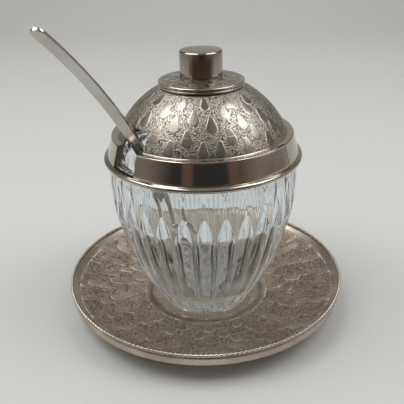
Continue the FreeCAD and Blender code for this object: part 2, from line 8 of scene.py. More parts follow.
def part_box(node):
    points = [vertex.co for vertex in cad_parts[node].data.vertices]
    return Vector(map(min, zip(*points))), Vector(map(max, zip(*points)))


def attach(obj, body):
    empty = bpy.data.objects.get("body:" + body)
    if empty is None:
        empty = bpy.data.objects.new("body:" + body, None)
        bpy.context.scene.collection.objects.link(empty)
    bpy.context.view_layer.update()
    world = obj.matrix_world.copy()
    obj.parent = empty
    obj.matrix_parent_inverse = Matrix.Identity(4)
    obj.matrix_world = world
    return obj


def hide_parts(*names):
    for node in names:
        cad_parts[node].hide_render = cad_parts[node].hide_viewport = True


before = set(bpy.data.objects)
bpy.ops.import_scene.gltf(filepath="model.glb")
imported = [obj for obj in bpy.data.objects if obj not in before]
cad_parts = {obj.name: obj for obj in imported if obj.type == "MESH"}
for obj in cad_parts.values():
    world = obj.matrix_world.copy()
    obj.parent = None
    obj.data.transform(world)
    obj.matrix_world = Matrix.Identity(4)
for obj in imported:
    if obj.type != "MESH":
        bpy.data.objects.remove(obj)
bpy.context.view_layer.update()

# A glass sugar bowl in silver-plated mounts, on its saucer, with its spoon in the notch.
# Lengths in this script are millimetres until make_mesh() turns them into metres.  Angles are
# degrees.  A side angle is measured from the front (-Y), positive towards +X.
MM = 0.001
# what the "relief" attribute says on top of a grain: it is 0 between the grains and 1 on a drop
GRAIN_TOP = 0.6


def low(node):
    """Height of a CAD node's lowest point."""
    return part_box(node)[0].z / MM


def top(node):
    """Height of a CAD node's highest point."""
    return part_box(node)[1].z / MM


def out(node):
    """How far a CAD node reaches towards +X."""
    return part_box(node)[1].x / MM


# ---------------------------------------------------------------- meshes

def make_mesh(name, points, faces, materials, smooth=None, values=None, slots=None):
    """A mesh object from points in mm and lists of faces (arrays of quads, or lists of corners)."""
    points = np.asarray(points, float).reshape(-1, 3) * MM
    corners, starts, count = [], [], 0
    for block in faces:
        block = np.asarray(block, np.int32)
        if block.ndim == 1:
            block = block[None, :]
        corners.append(block.ravel())
        starts.append(count + np.arange(len(block)) * block.shape[1])
        count += block.size
    corners = np.concatenate(corners)
    starts = np.concatenate(starts).astype(np.int32)
    mesh = bpy.data.meshes.new(name)
    mesh.vertices.add(len(points))
    mesh.vertices.foreach_set("co", points.astype(np.float32).ravel())
    mesh.loops.add(len(corners))
    mesh.loops.foreach_set("vertex_index", corners)
    mesh.polygons.add(len(starts))
    mesh.polygons.foreach_set("loop_start", starts)
    for material in materials:
        mesh.materials.append(material)
    if slots is not None:
        mesh.polygons.foreach_set("material_index", np.asarray(slots, np.int32))
    mesh.update(calc_edges=True)
    mesh.validate()
    if values is not None:
        layer = mesh.attributes.new("relief", "FLOAT", "POINT")
        layer.data.foreach_set("value", np.asarray(values, np.float32))
    mesh.shade_smooth()
    if smooth:
        mesh.set_sharp_from_angle(angle=math.radians(smooth))
    piece = bpy.data.objects.new(name, mesh)
    bpy.context.scene.collection.objects.link(piece)
    return piece


def show(piece, body, slot, *nodes):
    """Give a piece its body and hide the CAD nodes that it stands for; the slot is not used."""
    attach(piece, body)
    if nodes:
        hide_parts(*nodes)
    return piece


def spin(radius, height, side):
    """Points at a radius and height, turned to a side angle; all three broadcast."""
    radius, height, side = np.broadcast_arrays(radius, height, np.radians(side))
    return np.stack([radius * np.sin(side), -radius * np.cos(side), height], -1)


def grid_faces(columns, rows, wrap, first=0, keep=None):
    """Quads of a grid of columns x rows whose points run row by row within each column."""
    i = np.arange(columns if wrap else columns - 1)[:, None]
    j = np.arange(rows - 1)[None, :]
    a = i * rows + j
    b = ((i + 1) % columns) * rows + j
    quads = np.stack([a, b, b + 1, a + 1], -1)
    if keep is not None:
        quads = quads[keep]
    return quads.reshape(-1, 4) + first


def tube_faces(columns, rows, wrap):
    """Quads of a grid whose last row joins its first row."""
    i = np.arange(columns if wrap else columns - 1)[:, None]
    j = np.arange(rows)[None, :]
    here, after = i * rows, ((i + 1) % columns) * rows
    step = (j + 1) % rows
    return np.stack([here + j, after + j, after + step, here + step], -1).reshape(-1, 4)


def end_faces(columns, rows, first=0):
    """The first and the last row of a grid, each closed by one face."""
    ring = np.arange(columns) * rows + first
    return [ring, (ring + rows - 1)[::-1]]


def fillet(corners):
    """A closed outline with its corners rounded.  A corner is (radius, height) or (.., .., round)."""
    points = []
    steps, usual_round = 4, 0.12
    for number, corner in enumerate(corners):
        here = np.array(corner[:2], float)
        bend = corner[2] if len(corner) > 2 else usual_round
        before = np.array(corners[number - 1][:2], float) - here
        after = np.array(corners[(number + 1) % len(corners)][:2], float) - here
        reach_limit = 0.45 * min(np.hypot(*before), np.hypot(*after))
        before /= np.hypot(*before)
        after /= np.hypot(*after)
        half = math.acos(max(-1.0, min(1.0, float(before @ after)))) / 2
        reach = min(reach_limit, bend / max(math.tan(half), 1e-3))
        if bend <= 0 or math.pi / 2 - half < 0.02:
            points.append(here)
            continue
        start, end = here + before * reach, here + after * reach
        for t in np.linspace(0, 1, steps + 1):
            points.append((1 - t) ** 2 * start + 2 * t * (1 - t) * here + t ** 2 * end)
    return np.array(points)


def lathe(name, corners, material, span=None, columns=360):
    """A solid turned from a closed outline, whole or over a span of side angles."""
    outline = fillet(corners)
    rows = len(outline)
    if span is None:
        sides = np.arange(columns) * 360.0 / columns
    else:
        sides = np.linspace(span[0], span[1], max(2, int(columns * (span[1] - span[0]) / 360)))
    count = len(sides)
    points = spin(outline[None, :, 0], outline[None, :, 1], sides[:, None])
    faces = [tube_faces(count, rows, span is None)]
    if span is not None:
        faces += [np.arange(rows)[::-1], np.arange(rows) + (count - 1) * rows]
    return make_mesh(name, points, faces, [material], smooth=40)


def arc(start, end, bend, count):
    """Points on the arc of radius |bend| from start to end; a positive bend turns left on the way."""
    start, end = np.array(start, float), np.array(end, float)
    chord = end - start
    half = np.hypot(*chord) / 2
    left = np.array([-chord[1], chord[0]]) / (2 * half)
    centre = (start + end) / 2 + left * math.copysign(math.sqrt(bend * bend - half * half), bend)
    a0 = math.atan2(*(start - centre)[::-1])
    a1 = math.atan2(*(end - centre)[::-1])
    turn = (a1 - a0 + math.pi) % (2 * math.pi) - math.pi
    angles = a0 + turn * np.linspace(0, 1, count)
    return centre + abs(bend) * np.stack([np.cos(angles), np.sin(angles)], -1)


def normals_2d(line):
    """Left-hand unit normals along a line of (radius, height) points."""
    run = np.gradient(line, axis=0)
    run /= np.hypot(run[:, 0], run[:, 1])[:, None]
    return np.stack([-run[:, 1], run[:, 0]], -1)


def lengths(line):
    """Distance along a line at each of its points."""
    return np.concatenate([[0], np.cumsum(np.hypot(*np.diff(line, axis=0).T))])


# ---------------------------------------------------------------- relief

def smoothstep(x):
    x = np.clip(x, 0, 1)
    return x * x * (3 - 2 * x)


def lumps(x, y, z, wavelength, seed):
    """Smooth random lumps between about -1 and 1: a sum of plane waves in fixed random directions."""
    source = np.random.default_rng(seed)
    waves, usual_peak = 18, 4.5
    total = np.zeros(np.broadcast(x, y, z).shape)
    for _ in range(waves):
        way = source.normal(size=3)
        way *= 2 * math.pi / wavelength * source.uniform(0.6, 1.5) / np.linalg.norm(way)
        total += np.sin(way[0] * x + way[1] * y + way[2] * z + source.uniform(0, 2 * math.pi))
    return total / usual_peak


def pebbles(x, y, z, size, seed):
    """Round-topped grains packed about a size apart: 1 on top of a grain and 0 between the grains."""
    source = np.random.default_rng(seed)
    shift = source.random((64, 64, 64, 3), dtype=np.float32) * 0.8 + 0.1
    place = np.stack(np.broadcast_arrays(x, y, z), -1).reshape(-1, 3) / size
    cell = np.floor(place).astype(int)
    nearest = np.full(len(place), 9.0)
    for step in np.ndindex(3, 3, 3):
        other = cell + np.array(step) - 1
        where = other + shift[other[:, 0] % 64, other[:, 1] % 64, other[:, 2] % 64]
        nearest = np.minimum(nearest, ((place - where) ** 2).sum(1))
    return np.clip(1 - nearest / 0.55, 0, 1).reshape(np.broadcast(x, y, z).shape)


def drop_distance(across, up, round_radius, tip_radius, height):
    """Distance outside a drop: a round of one radius hulled with a small round above it."""
    lean = (round_radius - tip_radius) / height
    level = math.sqrt(1 - lean * lean)
    across = np.abs(across)
    k = -lean * across + level * up
    sides = level * across + lean * up - round_radius
    below = np.hypot(across, up) - round_radius
    above = np.hypot(across, up - height) - tip_radius
    return np.where(k < 0, below, np.where(k > level * height, above, sides))


# a drop of scale 1: how far its round sits below its place, its two radii and the distance between them
DROP_BELOW, DROP_ROUND, DROP_TIP, DROP_HEIGHT = 1.3, 2.35, 1.0, 4.3


def drops_relief(sides, along, radius, drops, edge=0.22):
    """0..1 height of the raised drops at the points (side angle, distance along the meridian)."""
    height = np.zeros(np.broadcast(sides, along, radius).shape)
    for side, place, scale, lean in drops:
        turn = (sides - side + 180) % 360 - 180
        reach = 6 * scale + 3
        near = np.flatnonzero(np.abs(turn[:, 0]) * math.pi / 180 * radius.max() < reach)
        if not len(near):
            continue
        across = np.radians(turn[near]) * radius
        up = along - place
        c, s = math.cos(math.radians(lean)), math.sin(math.radians(lean))
        a, u = c * across + s * up, -s * across + c * up
        gap = drop_distance(a, u + DROP_BELOW * scale, DROP_ROUND * scale, DROP_TIP * scale,
                            DROP_HEIGHT * scale)
        height[near] = np.maximum(height[near], smoothstep(0.5 - gap / (2 * edge)))
    return height


def relief_value(bare, grain):
    """The "relief" attribute where the ground is bare (1) or covered by a drop or plain plate (0)."""
    return 1 - bare * (1 - GRAIN_TOP * grain)


def raised(line, lift, sides):
    """Points of a turned line, moved to its left by a lift at every side angle."""
    (radius, height), (outward, upward) = line.T, normals_2d(line).T
    return spin(radius + outward * lift, height + upward * lift, sides)


# ---------------------------------------------------------------- materials

def material(name):
    """A new material, its node tree, its shader and its output node."""
    made = bpy.data.materials.new(name)
    made.use_nodes = True
    tree = made.node_tree
    tree.nodes.clear()
    output = tree.nodes.new("ShaderNodeOutputMaterial")
    shader = tree.nodes.new("ShaderNodeBsdfPrincipled")
    tree.links.new(shader.outputs[0], output.inputs["Surface"])
    return made, tree, shader, output


def position(tree, kind="Object"):
    """X, Y and Z of the place that is shaded."""
    place = tree.nodes.new("ShaderNodeTexCoord")
    split = tree.nodes.new("ShaderNodeSeparateXYZ")
    tree.links.new(place.outputs[kind], split.inputs[0])
    return split.outputs


def noise(tree, scale, detail=4.0, roughness=0.55, stretch=None):
    """A noise texture in object coordinates; scale is per metre."""
    place = tree.nodes.new("ShaderNodeTexCoord")
    source = place.outputs["Object"]
    if stretch:
        mapping = tree.nodes.new("ShaderNodeMapping")
        mapping.inputs["Scale"].default_value = stretch
        tree.links.new(source, mapping.inputs["Vector"])
        source = mapping.outputs[0]
    texture = tree.nodes.new("ShaderNodeTexNoise")
    texture.inputs["Scale"].default_value = scale
    texture.inputs["Detail"].default_value = detail
    texture.inputs["Roughness"].default_value = roughness
    tree.links.new(source, texture.inputs["Vector"])
    return texture.outputs["Fac"]


def ramp(tree, source, stops):
    """A colour ramp with stops of (position, colour)."""
    node = tree.nodes.new("ShaderNodeValToRGB")
    node.color_ramp.elements[0].position = stops[0][0]
    node.color_ramp.elements[-1].position = stops[-1][0]
    for place, _ in stops[1:-1]:
        node.color_ramp.elements.new(place)
    for element, (place, colour) in zip(node.color_ramp.elements, stops):
        element.position = place
        element.color = (*colour, 1.0)
    tree.links.new(source, node.inputs["Fac"])
    return node.outputs["Color"]


def span(tree, source, low_in, high_in, low_out, high_out):
    """A value moved from one range to another and held within it."""
    node = tree.nodes.new("ShaderNodeMapRange")
    limits = {"From Min": low_in, "From Max": high_in, "To Min": low_out, "To Max": high_out}
    for name, number in limits.items():
        node.inputs[name].default_value = number
    tree.links.new(source, node.inputs["Value"])
    return node.outputs["Result"]


def maths(tree, kind, first, second):
    node = tree.nodes.new("ShaderNodeMath")
    node.operation = kind
    for place, value in enumerate((first, second)):
        if isinstance(value, (int, float)):
            node.inputs[place].default_value = value
        else:
            tree.links.new(value, node.inputs[place])
    return node.outputs[0]


def blend_colour(tree, factor, first, second, kind="MIX"):
    node = tree.nodes.new("ShaderNodeMix")
    node.data_type = "RGBA"
    node.blend_type = kind
    sockets = [s for s in node.inputs if s.enabled]
    for socket, value in zip(sockets, (factor, first, second)):
        if isinstance(value, (int, float)):
            socket.default_value = value
        elif isinstance(value, tuple):
            socket.default_value = (*value, 1.0)
        else:
            tree.links.new(value, socket)
    return next(s for s in node.outputs if s.enabled)


def bump(tree, height, distance, strength=1.0):
    node = tree.nodes.new("ShaderNodeBump")
    node.inputs["Strength"].default_value = strength
    node.inputs["Distance"].default_value = distance
    tree.links.new(height, node.inputs["Height"])
    return node.outputs["Normal"]


def plate(name, dark, light, rough, patches=70.0, marks=0.00002, stretch=None):
    """Worn silver plate: tarnish in soft patches, fine handling marks, roughness that follows both."""
    made, tree, shader, _ = material(name)
    shader.inputs["Metallic"].default_value = 1.0
    tarnish = noise(tree, patches, 5.0)
    shade = ramp(tree, tarnish, [(0.32, dark), (0.68, light)])
    tree.links.new(shade, shader.inputs["Base Color"])
    fine = noise(tree, 900.0, 3.0, 0.6, stretch)
    worn = maths(tree, "ADD", span(tree, tarnish, 0.3, 0.7, rough * 0.35, -rough * 0.2),
                 span(tree, fine, 0.3, 0.7, rough * 0.75, rough * 1.25))
    tree.links.new(worn, shader.inputs["Roughness"])
    tree.links.new(bump(tree, fine, marks, 0.6), shader.inputs["Normal"])
    return made


def stamped(name, ground, drops, grain, depth, ground_rough, drop_rough, edge_glint):
    """Stamped plate: grains between smooth raised drops, told apart by the mesh's "relief" attribute.
    ground and drops are a dark and a light colour each, and the ground's dark colour is painted shade
    between the grains; the last argument says how bright the painted glints on the drops' edges get."""
    made, tree, shader, _ = material(name)
    shader.inputs["Metallic"].default_value = 1.0
    relief = tree.nodes.new("ShaderNodeAttribute")
    relief.attribute_name = "relief"
    on_drop = span(tree, relief.outputs["Fac"], 0.65, 0.95, 0.0, 1.0)
    grains = span(tree, relief.outputs["Fac"], 0.0, GRAIN_TOP, 0.0, 1.0)
    patch = noise(tree, 105.0, 5.0)
    fine = noise(tree, grain, 2.0, 0.5)
    # the ground is painted dark between the grains and light on their tops: painted shade in the hollows,
    # with fine noise for the grain's own tone
    stipple_and_hollow_shade = maths(tree, "ADD", grains, span(tree, fine, 0.3, 0.7, -0.35, 0.35))
    ground_shade = ramp(tree, stipple_and_hollow_shade, [(0.0, ground[0]), (0.95, ground[1])])
    drop_shade = ramp(tree, patch, [(0.35, drops[0]), (0.65, drops[1])])
    worn = ramp(tree, patch, [(0.3, (0.72, 0.68, 0.62)), (0.7, (1.0, 1.0, 1.0))])
    shade = blend_colour(tree, on_drop, ground_shade, drop_shade)
    shade = blend_colour(tree, 1.0, shade, worn, "MULTIPLY")
    rough = maths(tree, "ADD", span(tree, on_drop, 0.0, 1.0, ground_rough, drop_rough),
                  span(tree, patch, 0.3, 0.7, 0.06, -0.03))
    if edge_glint:
        # short lengths of the drops' edges get painted glints: a bright colour that stands in for
        # highlights
        edge = maths(tree, "MULTIPLY", on_drop, maths(tree, "SUBTRACT", 1.0, on_drop))
        glint_lengths = span(tree, noise(tree, 300.0, 2.0, 0.6), 0.52, 0.57, 0.0, 5.5 * edge_glint)
        shade = blend_colour(tree, maths(tree, "MULTIPLY", edge, glint_lengths), shade, (1.0, 0.96, 0.88))
    tree.links.new(shade, shader.inputs["Base Color"])
    tree.links.new(rough, shader.inputs["Roughness"])
    tree.links.new(bump(tree, fine, depth, 1.0), shader.inputs["Normal"])
    return made


def clear_glass():
    """Pressed glass, slightly cool, with soft ripples and fine scuffs."""
    made, tree, shader, output = material("pressed_glass")
    shader.inputs["Base Color"].default_value = (0.95, 0.98, 1.0, 1.0)
    # a faint bloom of handling and sugar dulls the glass, most of all near its foot
    bloom = maths(tree, "ADD", span(tree, noise(tree, 55.0, 5.0), 0.3, 0.7, 0.005, 0.022),
                  span(tree, position(tree)["Z"], 0.006, 0.036, 0.05, 0.0))
    tree.links.new(maths(tree, "SUBTRACT", 1.0, bloom), shader.inputs["Transmission Weight"])
    shader.inputs["IOR"].default_value = 1.52
    ripple = noise(tree, 120.0, 1.0, 0.4)
    fine = noise(tree, 700.0, 2.0, 0.5)
    tree.links.new(span(tree, fine, 0.35, 0.65, 0.0, 0.035), shader.inputs["Roughness"])
    surface = maths(tree, "ADD", ripple, maths(tree, "MULTIPLY", fine, 0.08))
    tree.links.new(bump(tree, surface, 0.0002, 0.08), shader.inputs["Normal"])
    # lamps shine through the glass to what is inside it
    clear = tree.nodes.new("ShaderNodeBsdfTransparent")
    clear.inputs["Color"].default_value = (0.93, 0.94, 0.95, 1.0)
    path = tree.nodes.new("ShaderNodeLightPath")
    either = tree.nodes.new("ShaderNodeMixShader")
    tree.links.new(path.outputs["Is Shadow Ray"], either.inputs[0])
    tree.links.new(shader.outputs[0], either.inputs[1])
    tree.links.new(clear.outputs[0], either.inputs[2])
    tree.links.new(either.outputs[0], output.inputs["Surface"])
    return made


def plaster():
    """The cement that beds the collar on the glass."""
    made, tree, shader, _ = material("plaster")
    shade = ramp(tree, noise(tree, 300.0), [(0.3, (0.50, 0.47, 0.41)), (0.7, (0.66, 0.63, 0.57))])
    tree.links.new(shade, shader.inputs["Base Color"])
    shader.inputs["Roughness"].default_value = 0.9
    tree.links.new(bump(tree, noise(tree, 1500.0), 0.0001, 0.7), shader.inputs["Normal"])
    return made


# the dish's ground colour runs from painted shade between the grains to light on their tops
DISH = stamped("saucer_plate_stamped", ground=((0.23, 0.185, 0.14), (0.64, 0.555, 0.455)),
               drops=((0.43, 0.365, 0.29), (0.55, 0.48, 0.395)), grain=1500.0, depth=0.00006,
               # the dish's drops get painted glints on short lengths of their edges
               ground_rough=0.54, drop_rough=0.42, edge_glint=1.0)
RIM = plate("saucer_rim_plate", (0.44, 0.37, 0.30), (0.60, 0.525, 0.44), 0.30)
# the well is painted lighter than the dish: painted light that the glass bowl casts onto it
LIT_WELL = plate("saucer_well_painted_light", (0.58, 0.51, 0.42), (0.76, 0.69, 0.58), 0.34)
ROPE = plate("rope_plate", (0.44, 0.38, 0.30), (0.70, 0.63, 0.55), 0.22)
MOUNT = plate("mount_plate_polished", (0.44, 0.38, 0.32), (0.60, 0.535, 0.465), 0.09)
# the knob is a darker copy of the mount's polished plate: painted shade
SHADED_KNOB = plate("knob_plate_painted_shade", (0.30, 0.26, 0.215), (0.42, 0.37, 0.315), 0.11)
# the dome's ground is painted nearly black between the grains: painted shade
DOME = stamped("dome_plate_stamped", ground=((0.085, 0.075, 0.06), (0.70, 0.66, 0.585)),
               drops=((0.32, 0.295, 0.255), (0.42, 0.385, 0.335)), grain=2600.0, depth=0.00004,
               ground_rough=0.35, drop_rough=0.22, edge_glint=0.0)
# the lid's inner faces, cut edges and turned-in ends are a darker copy of the plate: painted shade
SHADED_INSIDE = plate("inside_plate_painted_shade", (0.30, 0.25, 0.20), (0.42, 0.37, 0.31), 0.34)
HINGE = plate("hinge_plate", (0.38, 0.33, 0.28), (0.55, 0.50, 0.44), 0.28)
STEEL = plate("spoon_plate", (0.52, 0.50, 0.465), (0.65, 0.635, 0.60), 0.17, patches=45.0, marks=0.00003,
              stretch=(1.0, 1.0, 0.25))
GLASS = clear_glass()
PLASTER = plaster()


# ---------------------------------------------------------------- saucer

def drop_rows(rows, jitter, seed):
    """Drops in rings: (place along the meridian, count, first side angle, scale)."""
    source = np.random.default_rng(seed)
    drops = []
    for place, count, first, scale in rows:
        for k in range(count):
            side = first + 360.0 * k / count + source.uniform(-1, 1) * jitter
            drops.append((side, place + source.uniform(-0.5, 0.5), scale * source.uniform(0.9, 1.1),
                          source.uniform(-8, 8)))
    return drops


# rings of drops on the dish: minus the ring's radius, count, first side angle and scale
SAUCER_DROPS = [(-36.5, 17, 5, 0.95), (-42.0, 20, -4, 0.98), (-47.5, 23, 3, 1.0), (-53.0, 26, 0, 1.0),
                (-58.5, 28, 6, 1.0), (-63.2, 31, 1, 0.9)]


def saucer_top(rim, rim_up):
    """The saucer's upper face from the middle out: well, step, dish, shoulder and rim."""
    well_up = 1.4
    return np.vstack([
        [[0.05, well_up]], np.linspace((2.0, well_up), (27.6, well_up), 40),
        arc((27.9, well_up), (29.2, 2.1), 2.0, 5), arc((29.3, 2.3), (30.5, 3.15), -1.6, 6),
        arc((30.6, 3.2), (66.5, 12.3), 82.0, 150)[1:], np.linspace((66.8, 12.55), (68.6, 14.0), 6),
        [[69.0, 14.08], [rim, rim_up]],
    ])


def saucer_underside(rim, rim_up):
    """The rest of the saucer from the rim in: apron, underside of the dish and foot."""
    return np.vstack([
        [[rim + 0.4, rim_up - 0.5], [69.12, 10.0], [68.3, 10.0]],
        arc((68.2, 11.6), (67.0, 11.2), 3.0, 3), arc((66.9, 11.0), (31.5, 2.0), -83.4, 40),
        [[30.4, 0.6], [29.6, 0.0], [0.05, 0.0]],
    ])


def build_saucer():
    rim, rim_up = out("saucer") - 0.4, top("saucer")
    drop_lift, grain_lift, swell_lift = 0.24, 0.09, 0.05
    lit_well_rows, plain_rows = 28, 9
    upper, under = saucer_top(rim, rim_up), saucer_underside(rim, rim_up)
    columns = 1200
    sides = np.arange(columns)[:, None] * 360.0 / columns
    radius, height = upper[None, :, 0], upper[None, :, 1]
    in_dish = smoothstep((radius - 31.5) / 1.5) * smoothstep((65.9 - radius) / 1.2)
    in_well = smoothstep((27.0 - radius) / 1.5) * smoothstep((radius - 2) / 3)
    relief = drops_relief(sides, -radius, radius, drop_rows(SAUCER_DROPS, 1.5, 11)) * in_dish
    flat = spin(radius, height, sides)
    x, y, z = flat[..., 0], flat[..., 1], flat[..., 2]
    grain = pebbles(x, y, z, 1.05, 4)
    hammered = lumps(x, y, z, 5.0, 3) * swell_lift + grain * grain_lift
    lift = relief * drop_lift + hammered * (1 - relief * 0.8) * np.maximum(in_dish, in_well * 0.8)
    points = np.concatenate([raised(upper, lift, sides), spin(under[None, :, 0], under[None, :, 1], sides)],
                            axis=1)
    total = points.shape[1]
    bare = np.maximum(in_dish * (1 - relief), in_well * 0.7)
    values = np.concatenate([relief_value(bare, grain), np.ones((columns, len(under)))], axis=1)
    # the middle of the well is painted lighter, painted light for what the glass bowl casts onto it, and
    # the shoulder, rim and underside are plain plate
    j = np.tile(np.arange(total - 1), columns)
    slots = np.where(j >= len(upper) - plain_rows, 1, np.where(j < lit_well_rows, 2, 0))
    slots = np.concatenate([slots, [0, 1]])
    faces = [grid_faces(columns, total, True), *end_faces(columns, total)]
    piece = make_mesh("saucer_stamped", points, faces, [DISH, RIM, LIT_WELL], smooth=50,
                      values=values.ravel(), slots=slots)
    return show(piece, "saucer", "saucer_plate", "saucer")


def build_rope():
    wire, strand, strands = 0.9, 0.875, 200
    ring, height = out("saucer_rope_border") - wire, top("saucer_rope_border") - wire
    columns, rows = strands * 9, 14
    side = np.arange(columns)[:, None] * 360.0 / columns
    turn = np.arange(rows)[None, :] * 2 * math.pi / rows
    radius = strand * (0.80 + 0.20 * np.sin(np.radians(side) * strands + turn))
    points = spin(ring + radius * np.cos(turn), height + radius * np.sin(turn), side)
    piece = make_mesh("saucer_rope", points, [tube_faces(columns, rows, True)], [ROPE])
    return show(piece, "saucer", "saucer_plate", "saucer_rope_border")


# ---------------------------------------------------------------- glass bowl

def cut_radius(centre, cutter, off):
    """Radius of a round cut at an angle off its centre line; very large where the cut doesn't reach."""
    off = np.radians(off)
    axis = centre + cutter
    inside = cutter ** 2 - (axis * np.sin(off)) ** 2
    return np.where(inside > 0, axis * np.cos(off) - np.sqrt(np.maximum(inside, 0)), 1e3)


def cut_reach(wall, centre, cutter, most):
    """Half the angle over which a round cut lies below the wall, up to a limit."""
    trial = np.linspace(0, most, 200)
    below = cut_radius(centre[:, None], cutter[:, None], trial[None, :]) < wall[:, None] - 0.004
    return trial[np.maximum(below.sum(1) - 1, 0)]


FLUTES, FLUTE_PITCH, FIRST_FLUTE = 30, 12.0, 2.0


def glass_outline(foot_up, rim_up):
    """The outer wall from the foot up to the mouth, before it is cut."""
    return np.vstack([
        arc((21.7, foot_up), (23.6, 3.4), 3.0, 6)[1:],
        arc((23.6, 3.4), (43.3, 52.0), 150.0, 58)[1:],
        arc((43.3, 52.0), (45.0, 70.0), 95.0, 40)[1:],
        np.linspace((44.93, 70.7), (44.2, 77.0), 10),
        [[44.2, 78.2], [44.2, 79.6], [44.15, 80.1], [42.9, 81.5], [42.6, rim_up], [41.3, rim_up],
         [40.85, 81.4], [40.6, 81.0]],
    ])


def glass_inside():
    """The inner wall from the mouth down to the middle of the thick floor."""
    return np.vstack([
        [[40.4, 80.4], [39.0, 79.9], [37.6, 79.5], [37.05, 79.0]],
        arc((37.3, 78.4), (38.3, 71.5), 60.0, 6), np.linspace((38.34, 69.0), (38.05, 54.5), 5),
        arc((38.0, 52.5), (21.4, 15.1), -150.0, 18),
        arc((21.4, 15.1), (17.0, 12.5), -6.5, 6)[1:],
        np.linspace((16.0, 12.5), (1.0, 12.5), 16), [[0.05, 12.5]],
    ])


def glass_underside(foot_up):
    """From the middle of the hollow out to the foot ring."""
    return np.vstack([[[0.05, 2.2]], np.linspace((1.0, 2.2), (17.0, 2.2), 30),
                      arc((17.3, 2.15), (19.2, foot_up), 3.0, 5), [[20.4, foot_up]]])


def cut_wall(outer):
    """Points of the outer wall with its cuts: flutes that run up into pointed petals, and arched facets
    that stand between the points."""
    wall, height = outer[:, 0], outer[:, 1]
    half_pitch, half_columns, petal_tip = FLUTE_PITCH / 2, 32, 67.5
    sink = np.interp(height, [3.8, 5.5, 12, 22, 32, 40, 46, 51.3, 52.5, petal_tip],
                     [0, 0.4, 0.8, 0.95, 1.2, 1.8, 2.55, 3.15, 3.1, 0])
    flute_half = np.interp(height, [3.8, 49, 52, 56, 60, 64, 66.5, petal_tip],
                           [5.65, 5.65, 5.55, 4.95, 3.95, 2.5, 1.2, 0.15])
    facet_low, facet_high = 49.0, 78.4
    share = np.clip((height - facet_low) / (facet_high - facet_low), 0, 1)
    chord = np.interp(height, [facet_low, 58, 66, 72, facet_high], [43.1, 44.0, 44.15, 44.1, 43.95])
    facet_centre = np.where((share > 0) & (share < 1), np.minimum(chord, wall), wall)
    facet_round = np.interp(share, [0, 0.25, 0.6, 1.0], [3.0, 12.0, 28.0, 30.0])
    # columns of points follow the ridges between flutes and facets, evened out over five rows
    ridge = np.where(height < petal_tip, half_pitch - flute_half,
                     cut_reach(wall, facet_centre, facet_round, half_pitch))
    ridge = np.convolve(np.pad(ridge, 2, mode="edge"), np.ones(5) / 5, mode="valid")
    ridge = np.clip(ridge, 0.07, half_pitch - 0.07)
    steps = np.linspace(-1, 1, half_columns, endpoint=False)[:, None]
    sides = []
    for k in range(FLUTES):
        middle = FIRST_FLUTE + k * FLUTE_PITCH
        sides += [middle + steps * (half_pitch - ridge), middle + half_pitch + steps * ridge]
    sides = np.concatenate(sides)
    from_flute = (sides - FIRST_FLUTE + half_pitch) % FLUTE_PITCH - half_pitch
    from_facet = (sides - FIRST_FLUTE) % FLUTE_PITCH - half_pitch
    # a flute is nearly flat across its middle and rises to narrow ridges
    rise = np.minimum(np.abs(from_flute) / flute_half, 1.0) ** 5
    cut = np.minimum(wall - sink * (1 - rise), cut_radius(facet_centre, facet_round, from_facet))
    radius = np.minimum(wall, cut)
    flat = spin(radius, height, sides)
    ripple = lumps(flat[..., 0], flat[..., 1], flat[..., 2] * 0.5, 7.0, 41) * 0.02
    ripple *= smoothstep((height - 6) / 6) * smoothstep((76 - height) / 4)
    return spin(radius - np.abs(ripple), height, sides)


def build_glass():
    foot_up, rim_up = low("glass_bowl"), top("glass_bowl")
    outside = cut_wall(glass_outline(foot_up, rim_up))
    columns = len(outside)
    even = np.arange(columns)[:, None] * 360.0 / columns + FIRST_FLUTE - FLUTE_PITCH / 2
    # the inner wall swells a little, and the floor is worn into soft lumps
    radius, height = glass_inside().T
    x, y, z = np.moveaxis(spin(radius, height, even), -1, 0)
    swell, worn = lumps(x, y, z, 14.0, 43) * 0.08, lumps(x, y, 0.0, 4.5, 45) * 0.16
    on_floor = smoothstep((18.0 - radius) / 3.0)
    inside = spin(radius + swell * (1 - on_floor), height + worn * on_floor, even)
    # pebbled underside, inside the foot ring
    radius, height = glass_underside(foot_up).T
    below = spin(radius, height, even)
    ice = pebbles(below[..., 0], below[..., 1], 0.0, 2.6, 21)
    below[..., 2] += 2.0 * (1 - ice) * smoothstep((17.0 - radius) / 2.0)
    points = np.concatenate([below, outside, inside], axis=1)
    total = points.shape[1]
    faces = [grid_faces(columns, total, True), *end_faces(columns, total)]
    piece = make_mesh("bowl_cut_glass", points, faces, [GLASS], smooth=22)
    return show(piece, "bowl", "clear_glass", "glass_bowl")


# ---------------------------------------------------------------- collar

